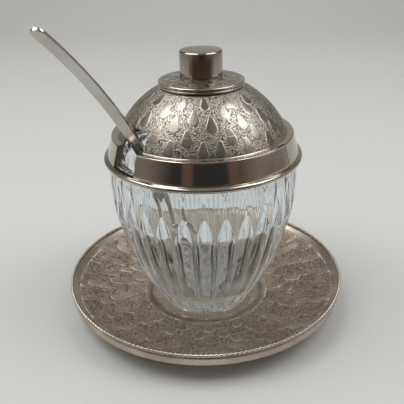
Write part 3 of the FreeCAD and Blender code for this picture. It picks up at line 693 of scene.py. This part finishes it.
def build_collar():
    skirt, mouth, bead_up, bead = 45.9, 43.6, 80.6, 1.1
    top_up, bottom = top("collar_flange_ring"), low("collar_flange_ring")
    angles = [math.radians(a) for a in range(12, 172, 16)]
    round_bead = [(skirt + bead * math.sin(a), bead_up - bead * math.cos(a), 0) for a in angles]
    ring = lathe("collar_ring", [
        (mouth, top_up - 1.0, 0.1), (45.2, top_up - 1.0, 0.1), (45.2, bottom, 0.15), (skirt, bottom, 0.2),
        (skirt, 79.52, 0), *round_bead, (skirt - 0.15, top_up - 0.12, 0.1), (skirt - 0.5, top_up, 0.15),
        (mouth, top_up, 0.25),
    ], MOUNT, columns=540)
    show(ring, "bowl", "mount_plate", "collar_flange_ring")
    floor_up, edge_up = low("collar_front_band"), top("collar_front_band")
    band_left, band_right = -39.3, 58.8
    band = lathe("collar_band", [
        (44.3, floor_up, 0.1), (45.2, floor_up, 0.12), (45.02, floor_up + 0.9, 0.2),
        (42.62, edge_up - 0.7, 0.1), (42.66, edge_up - 0.25, 0.2), (42.2, edge_up, 0.22),
        (41.74, edge_up - 0.2, 0.2), (41.72, edge_up - 0.6, 0.1),
    ], MOUNT, span=(band_left, band_right), columns=540)
    show(band, "bowl", "mount_plate", "collar_front_band")


# ---------------------------------------------------------------- lid

# rows of drops on the front of the dome: distance up from its foot, scale and side angles
DROPS_SEEN = [
    (3.4, 0.98, (-41.5, -19.8, 2.2, 13.0, 31.5, 50.7)),
    (8.3, 1.0, (-31.4, -8.5, 21.5, 41.1, 62.0)),
    (14.0, 1.0, (-47.5, -19.5, 8.8, 33.7, 56.6)),
    (17.6, 0.95, (-4.7,)),
    (20.0, 0.95, (-32.3, 20.9, 46.0)),
    (24.4, 0.85, (-48.6, -17.8, 4.5, 31.0)),
]


def dome_drops():
    """The drops of the front, then the same rows carried round the back at an even pitch."""
    source = np.random.default_rng(5)
    drops = []
    for place, scale, seen in DROPS_SEEN:
        for side in seen:
            drops.append((side, place, scale * source.uniform(0.94, 1.06), source.uniform(-5, 5)))
        if len(seen) < 3:
            continue
        pitch = (seen[-1] - seen[0]) / (len(seen) - 1)
        room = 360 - (seen[-1] - seen[0])
        count = max(1, round(room / pitch)) - 1
        for k in range(count):
            side = seen[-1] + room * (k + 1) / (count + 1) + source.uniform(-3, 3)
            drops.append((side, place + source.uniform(-0.8, 0.8), scale * source.uniform(0.9, 1.08),
                          source.uniform(-8, 8)))
    return drops


def lid_outline(edge_up, bottom, slot_top):
    """The lid's outer face, from the skirt over the shoulder and up the dome.  Also says how many rows come
    before the dome, and before the top of the spoon's cut-out."""
    shoulder = [[45.2, bottom], [45.1, bottom + 0.5], [42.64, edge_up - 0.6], [42.60, edge_up - 0.35],
                [42.45, edge_up - 0.12], [42.15, edge_up - 0.02], [41.3, edge_up - 0.06],
                [40.4, edge_up - 0.02], [39.85, edge_up + 0.06]]
    dome = arc((39.6, 92.1), (18.9, 113.1), 46.8, 165)
    step = int(np.argmin(np.abs(dome[:, 1] - slot_top)))
    dome[step, 1] = slot_top
    return np.vstack([shoulder, dome]), len(shoulder), len(shoulder) + step


def lid_inside(line, start, edge_up, bottom):
    """The outer face moved in by the sheet's thickness, with its own points below the dome."""
    sheet = 0.9
    inner = line + normals_2d(line) * sheet
    inner[:3] = [[44.3, bottom], [44.2, bottom + 0.5], [41.74, edge_up - 0.9]]
    inner[3:start] = [[r, edge_up - sheet - 0.02] for r in (41.6, 41.4, 41.1, 40.4, 39.6, 39.0)]
    return inner


def edge_walls(keep, first):
    """Walls between an outer and an inner grid wherever a kept quad has no kept neighbour."""
    columns, rows = keep.shape[0], keep.shape[1] + 1
    wide = np.pad(keep, ((0, 0), (1, 1)))
    below, above = wide[:, :-2], wide[:, 2:]
    before, after = np.roll(keep, 1, axis=0), np.roll(keep, -1, axis=0)
    walls = []
    for neighbour, corner_a, corner_b in ((below, (0, 0), (1, 0)), (above, (1, 1), (0, 1)),
                                          (before, (0, 1), (0, 0)), (after, (1, 0), (1, 1))):
        i, k = np.nonzero(keep & ~neighbour)
        a = ((i + corner_a[0]) % columns) * rows + k + corner_a[1]
        b = ((i + corner_b[0]) % columns) * rows + k + corner_b[1]
        walls.append(np.stack([b, a, a + first, b + first], -1))
    return np.concatenate(walls)


def build_lid():
    edge_up, bottom = top("collar_front_band"), low("lid_dome")
    slot_left, slot_right, slot_top = -59.9, -37.9, 99.5
    skirt_end, skirt_rows = 59.2, 6
    drop_lift, grain_lift = 0.17, 0.13
    line, start, slot_row = lid_outline(edge_up, bottom, slot_top)
    columns, rows = 1620, len(line)
    sides = slot_left + np.arange(columns)[:, None] * 360.0 / columns
    radius, height = line[None, :, 0], line[None, :, 1]
    run = lengths(line)
    along = (run - run[start])[None, :]
    on_dome = smoothstep((along - 0.05) / 0.3) * smoothstep((29.4 - along) / 0.5)
    relief = drops_relief(sides, along, radius, dome_drops(), 0.3) * on_dome
    flat = spin(radius, height, sides)
    grain = pebbles(flat[..., 0], flat[..., 1], flat[..., 2], 0.66, 31)
    outer = raised(line, -(relief * drop_lift + grain_lift * grain * (1 - relief)) * on_dome, sides)
    inner_line = lid_inside(line, start, edge_up, bottom)
    inner = spin(inner_line[None, :, 0], inner_line[None, :, 1], sides)
    # the cut-out for the spoon is open, and so is the skirt where the collar's front band stands
    middle = (sides + 180.0 / columns + 180) % 360 - 180
    j = np.arange(rows - 1)[None, :]
    in_slot = (middle > slot_left) & (middle < slot_right) & (j < slot_row)
    at_band = (np.abs(middle) < skirt_end) & (j < skirt_rows)
    keep = ~(in_slot | at_band)
    first = columns * rows
    outer_faces = grid_faces(columns, rows, True, 0, keep)
    inner_faces = grid_faces(columns, rows, True, first, keep)[:, ::-1]
    walls = edge_walls(keep, first)
    row_of = np.broadcast_to(j, keep.shape)[keep]
    # the inner faces and the cut edges take the darker plate of painted shade
    slots = np.concatenate([np.where(row_of < start, 1, 0), np.full(len(inner_faces) + len(walls), 2)])
    values = np.concatenate([relief_value(on_dome * (1 - relief), grain).ravel(), np.ones(first)])
    points = np.concatenate([outer.reshape(-1, 3), inner.reshape(-1, 3)])
    piece = make_mesh("lid_stamped", points, [outer_faces, inner_faces, walls], [DOME, MOUNT, SHADED_INSIDE],
                      smooth=55, values=values, slots=slots)
    show(piece, "lid", "lid_plate", "lid_dome")
    # the skirt's two ends are turned in
    for name, side in (("left", -1), ("right", 1)):
        tab_up = edge_up - 0.5
        tab = lathe(f"lid_return_{name}", [
            (42.0, bottom, 0.15), (44.7, bottom, 0.1), (42.3, tab_up, 0.1), (39.6, tab_up, 0.15),
        ], SHADED_INSIDE, span=sorted((side * 59.25, side * 60.4)), columns=1800)
        show(tab, "lid", "lid_plate")


def build_finial_ring():
    base, plate_low, edge = low("finial_base_ring"), low("finial_plate"), out("finial_plate")
    hole = 2.7
    ring = lathe("finial_ring", [
        (hole, base, 0), (18.7, base, 0.1), (19.2, base + 0.12, 0.2), (edge, base + 0.5, 0.35),
        (edge, plate_low - 0.35, 0.35), (edge - 0.5, plate_low, 0.15), (hole, plate_low, 0),
    ], MOUNT, columns=480)
    show(ring, "lid", "mount_plate", "finial_base_ring")


def build_finial_plate():
    """A smooth rounded rim, then a pebbled top that rises to the knob."""
    floor, plate_up, edge = low("finial_plate"), top("finial_plate"), out("finial_plate")
    hole, knob_foot, drop_lift, grain_lift, settle = 2.7, 9.8, 0.20, 0.07, 0.05
    rim = [(hole, floor), (edge - 0.5, floor), (edge - 0.1, floor + 0.18), (edge, floor + 0.5),
           (edge, floor + 0.85), (edge - 0.15, floor + 1.15), (edge - 0.5, floor + 1.32),
           (edge - 0.9, floor + 1.34), (edge - 1.4, floor + 1.18), (edge - 1.7, floor + 1.14)]
    slope = np.linspace((edge - 1.9, floor + 1.15), (knob_foot, plate_up), 60)
    line = np.vstack([rim, slope, [[hole, plate_up]]])
    columns, total = 720, len(line)
    sides = np.arange(columns)[:, None] * 360.0 / columns
    radius, height = line[None, :, 0], line[None, :, 1]
    flat = spin(radius, height, sides)
    band = smoothstep((edge - 1.9 - radius) / 0.6) * smoothstep((radius - knob_foot + 0.05) / 0.3)
    rows = drop_rows([(-16.6, 11, 10, 0.62), (-12.6, 8, 24, 0.58)], 3, 17)
    relief = drops_relief(sides, -radius, radius, rows) * band
    grain = pebbles(flat[..., 0], flat[..., 1], flat[..., 2], 0.7, 8)
    lift = (relief * drop_lift + grain * grain_lift * (1 - relief) - settle) * band
    points = spin(radius, height + lift, sides)
    j = np.arange(total)
    slots = np.tile(np.where((j < len(rim) - 1) | (j == total - 1), 1, 0), columns)
    values = relief_value(band * (1 - relief), grain)
    piece = make_mesh("finial_disc", points, [tube_faces(columns, total, True)], [DOME, MOUNT], smooth=50,
                      values=values.ravel(), slots=slots)
    show(piece, "lid", "lid_plate", "finial_plate")


def build_knob():
    edge, knob_up, seat = out("finial_knob"), top("finial_knob"), low("finial_knob")
    bore, bore_up = 2.4, seat + 7.0
    knob = lathe("finial_cap", [
        (bore, seat, 0), (edge - 0.15, seat, 0.1), (edge, seat + 0.2, 0.15), (edge, knob_up - 0.55, 0.25),
        (edge - 0.5, knob_up, 0.35), (1.2, knob_up - 0.03, 0), (0.05, knob_up - 0.03, 0),
        (0.05, bore_up, 0), (bore, bore_up, 0),
    ], SHADED_KNOB, columns=480)
    show(knob, "lid", "mount_plate", "finial_knob")


# ---------------------------------------------------------------- spoon

def spoon_handle(back, end, base, thick):
    """A flat bar along an arc, round at its tip and narrow at its neck: rings of points round the bar."""
    width, soft = 5.8, 0.42
    line = arc((back, base), (end, 7.8), -190.0, 150)
    s, up = line.T
    tip = np.clip((s - (end - width / 2)) / (width / 2), 0, 1)
    neck = smoothstep((s - back) / 30.0)
    half = width / 2 * np.sqrt(np.clip(1 - tip ** 2, 0.0004, 1)) * (0.70 + 0.30 * neck)
    deep = thick / 2 * (1.15 - 0.15 * neck)
    corners = np.array([(cx, cy, math.cos(math.radians(a)), math.sin(math.radians(a)))
                        for cx, cy, start in ((1, 1, 0), (-1, 1, 90), (-1, -1, 180), (1, -1, 270))
                        for a in np.linspace(start, start + 90, 5)])
    across_by = np.minimum(soft, half * 0.6)[:, None]
    up_by = np.minimum(across_by, deep[:, None] * 0.7)
    across = corners[:, 0] * (half[:, None] - across_by) + corners[:, 2] * across_by
    over = corners[:, 1] * (deep[:, None] - up_by) + corners[:, 3] * up_by
    normal = normals_2d(line)
    return np.stack([s[:, None] + normal[:, :1] * over, across, up[:, None] + normal[:, 1:] * over], -1)


def spoon_scoop(back, base, thick):
    """An oval dish with a rounded lip: rings of points from its outside over the lip to its inside."""
    long, wide, drop, sheet, egg = 21.0, 11.5, 6.8, 1.1, 0.08
    centre, lip_up, bare = 4.0 + back - long, base + thick / 2, 0.93
    share = np.sin(np.linspace(0, 1, 22) * math.pi / 2)
    lip = [(0.9995, -0.25), (1.0, -0.05), (0.995, 0.12), (0.975, 0.16), (0.955, 0.10), (bare, -0.2)]
    outside = [(r, -math.sqrt(1 - r * r) * drop) for r in share[:-1]]
    inside = [(r, -math.sqrt(1 - (r / bare) ** 2) * (drop - sheet)) for r in share[:-2][::-1] if r < bare]
    profile = [(max(r, 0.004), h) for r, h in outside + lip + inside]
    turns = np.linspace(0, 2 * math.pi, 96, endpoint=False)
    return np.array([[(centre + long * r * math.cos(t), wide * r * math.sin(t) * (1 + egg * math.cos(t)),
                       lip_up + h) for r, h in profile] for t in turns])


def build_spoon():
    back, end, base, thick = -51.0, 67.92, 4.6, 1.5
    handle, scoop = spoon_handle(back, end, base, thick), spoon_scoop(back, base, thick)
    count, rows = handle.shape[:2]
    turns, total = scoop.shape[:2]
    first = count * rows
    faces = [tube_faces(count, rows, False), np.arange(rows), (np.arange(rows) + (count - 1) * rows)[::-1],
             grid_faces(turns, total, True, first)]
    faces += [face[::-1] for face in end_faces(turns, total, first)]
    # the spoon leans back over the cut-out, turned a little about its own length
    heading, crossing, tilt, turn = -134.0, (47.0, 0, 85.9), -57.3, 25.0
    place = (Matrix.Rotation(math.radians(heading), 4, "Z") @ Matrix.Translation(crossing)
             @ Matrix.Rotation(math.radians(tilt), 4, "Y") @ Matrix.Rotation(math.radians(turn), 4, "X"))
    move = np.array(place)
    points = np.concatenate([handle.reshape(-1, 3), scoop.reshape(-1, 3)]) @ move[:3, :3].T + move[:3, 3]
    piece = make_mesh("spoon_plain", points, faces, [STEEL], smooth=45)
    return show(piece, "spoon", "spoon_steel", "sugar_spoon")


build_saucer()
build_rope()
build_glass()
build_collar()
build_lid()
build_finial_ring()
build_finial_plate()
build_knob()
build_spoon()

# CAD nodes that no piece stands for show themselves, in these materials
FINISH = {
    "collar_bedding_ring": PLASTER, "hinge_collar_leaf": HINGE, "hinge_lid_leaf": HINGE, "hinge_pin": STEEL,
    "finial_stud": STEEL, "finial_washer": STEEL, "finial_nut": STEEL,
}
for node, finish in FINISH.items():
    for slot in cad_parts[node].material_slots:
        slot.material = finish


# ---------------------------------------------------------------- stage, light and camera

def build_stage():
    """A pale sweep: a floor that curves up into a backdrop behind the object."""
    turn_from, bend, below_foot = 0.8, 0.5, 0.00002
    line = [(-0.9, 0.0), (-0.4, 0.0), (0.0, 0.0), (0.5, 0.0), (turn_from, 0.0)]
    line += [(turn_from + bend * math.sin(a), bend - bend * math.cos(a))
             for a in np.linspace(0.08, math.pi / 2, 18)]
    line += [(1.3, 0.9), (1.3, 1.6)]
    across = np.linspace(-1.6, 1.6, 9)
    points = np.array([[(x, y, z - below_foot) for y, z in line] for x in across]) / MM
    made, tree, shader, _ = material("sweep_paper")
    # the paper is painted a little darker towards the back: painted shade where less light falls
    back = span(tree, position(tree)["Y"], 0.1, 0.9, 0.0, 1.0)
    shade = ramp(tree, back, [(0.0, (0.70, 0.705, 0.685)), (1.0, (0.67, 0.675, 0.655))])
    grain = ramp(tree, noise(tree, 1200.0), [(0.3, (0.985, 0.985, 0.985)), (0.7, (1.0, 1.0, 1.0))])
    tree.links.new(blend_colour(tree, 1.0, shade, grain, "MULTIPLY"), shader.inputs["Base Color"])
    shader.inputs["Roughness"].default_value = 0.8
    shader.inputs["Specular IOR Level"].default_value = 0.2
    sweep = make_mesh("sweep", points, [grid_faces(len(across), len(line), False)[:, ::-1]], [made])


def side_angle(tree, x, y):
    """Degrees from the front, positive towards +X."""
    angle = maths(tree, "ARCTAN2", x, maths(tree, "MULTIPLY", y, -1.0))
    return maths(tree, "MULTIPLY", angle, 180 / math.pi)


def build_world():
    """A room: dark where the camera stands, with warm uprights, pale to the sides and above."""
    world = bpy.data.worlds.new("room")
    bpy.context.scene.world = world
    world.use_nodes = True
    tree = world.node_tree
    tree.nodes.clear()
    output = tree.nodes.new("ShaderNodeOutputWorld")
    light = tree.nodes.new("ShaderNodeBackground")
    tree.links.new(light.outputs[0], output.inputs["Surface"])
    x, y, z = position(tree, "Generated")
    side = side_angle(tree, x, y)
    away = maths(tree, "ABSOLUTE", side, 0.0)
    front = span(tree, away, 34.0, 70.0, 1.0, 0.0)
    lowness = span(tree, z, 0.42, 0.66, 1.0, 0.0)
    dark = maths(tree, "MULTIPLY", front, lowness)
    sky = ramp(tree, z, [(0.0, (0.34, 0.30, 0.26)), (0.22, (0.36, 0.32, 0.28)), (0.42, (0.46, 0.46, 0.45)),
                         (1.0, (0.36, 0.365, 0.365))])
    # what shows through the glass is the pale side of the room
    path = tree.nodes.new("ShaderNodeLightPath")
    dark = maths(tree, "MULTIPLY", dark, maths(tree, "SUBTRACT", 1.0, path.outputs["Is Transmission Ray"]))
    room = blend_colour(tree, dark, sky, (0.052, 0.054, 0.056))
    for middle, half, colour in ((-16.5, 4.5, (0.23, 0.145, 0.12)), (37.0, 5.0, (0.21, 0.135, 0.115))):
        gap = maths(tree, "ABSOLUTE", maths(tree, "SUBTRACT", side, middle), 0.0)
        strip = span(tree, gap, half, half + 2.5, 1.0, 0.0)
        strip = maths(tree, "MULTIPLY", strip, lowness)
        room = blend_colour(tree, strip, room, colour)
    tree.links.new(room, light.inputs["Color"])
    light.inputs["Strength"].default_value = 0.8


def softbox(name, place, target, size, power):
    """A rectangular lamp that faces its target; metres and watts."""
    lamp = bpy.data.lights.new(name, "AREA")
    lamp.shape = "RECTANGLE"
    lamp.size, lamp.size_y = size
    lamp.energy = power
    thing = bpy.data.objects.new(name, lamp)
    thing.location = place
    way = Vector(target) - Vector(place)
    thing.rotation_euler = way.to_track_quat("-Z", "Y").to_euler()
    bpy.context.scene.collection.objects.link(thing)


def build_flag():
    """A dark card that lies on the floor before the object; only the mirrors of the metal see it."""
    columns, rows, lift = 33, 12, 0.4
    sides, radii = np.linspace(-75, 85, columns), np.linspace(150, 900, rows)
    points = spin(radii[None, :], lift, sides[:, None])
    made, tree, shader, _ = material("dark_card")
    shader.inputs["Base Color"].default_value = (0.13, 0.085, 0.07, 1.0)
    shader.inputs["Roughness"].default_value = 0.9
    x, y, _ = position(tree)
    side = side_angle(tree, x, y)
    # both ends of the card fade out
    solid = maths(tree, "MULTIPLY", span(tree, side, -72.0, -40.0, 0.0, 1.0),
                  span(tree, side, 50.0, 80.0, 1.0, 0.0))
    tree.links.new(solid, shader.inputs["Alpha"])
    card = make_mesh("dark_card", points, [grid_faces(columns, rows, False)], [made])
    card.visible_camera = card.visible_diffuse = card.visible_shadow = card.visible_transmission = False


def build_camera():
    """The camera that was fitted to the photo; metres, degrees and millimetres of lens."""
    height, distance, bearing = 0.1775, 0.25577, 2.0
    pitch, yaw, roll = (math.radians(a) for a in (25.85, -0.226, -1.344))
    sensor, focal_length = 36.0, 50.6228
    forward = Vector((math.sin(yaw) * math.cos(pitch), math.cos(yaw) * math.cos(pitch), -math.sin(pitch)))
    right = Vector((math.cos(yaw), -math.sin(yaw), 0))
    up = right.cross(forward)
    across = math.cos(roll) * right + math.sin(roll) * up
    upward = -math.sin(roll) * right + math.cos(roll) * up
    turn = Matrix((across, upward, -forward)).transposed().to_4x4()
    lens = bpy.data.cameras.new("view")
    lens.sensor_width = sensor
    lens.lens = focal_length
    lens.clip_start = 0.01
    camera = bpy.data.objects.new("view", lens)
    camera.matrix_world = (Matrix.Rotation(math.radians(bearing), 4, "Z")
                           @ Matrix.Translation((0, -distance, height)) @ turn)
    bpy.context.scene.collection.objects.link(camera)
    bpy.context.scene.camera = camera


build_stage()
build_world()
build_flag()
softbox("left_box", (-0.45, -0.05, 0.80), (0, 0, 0.05), (0.62, 0.62), 3.8)
softbox("right_box", (0.50, -0.02, 0.70), (0, 0, 0.05), (0.45, 0.55), 2.3)
softbox("back_wash", (0.0, 0.70, 1.00), (0, 1.15, 0.1), (1.4, 0.4), 2.9)
build_camera()
bpy.context.scene.view_settings.view_transform = "Standard"

bpy.context.view_layer.update()
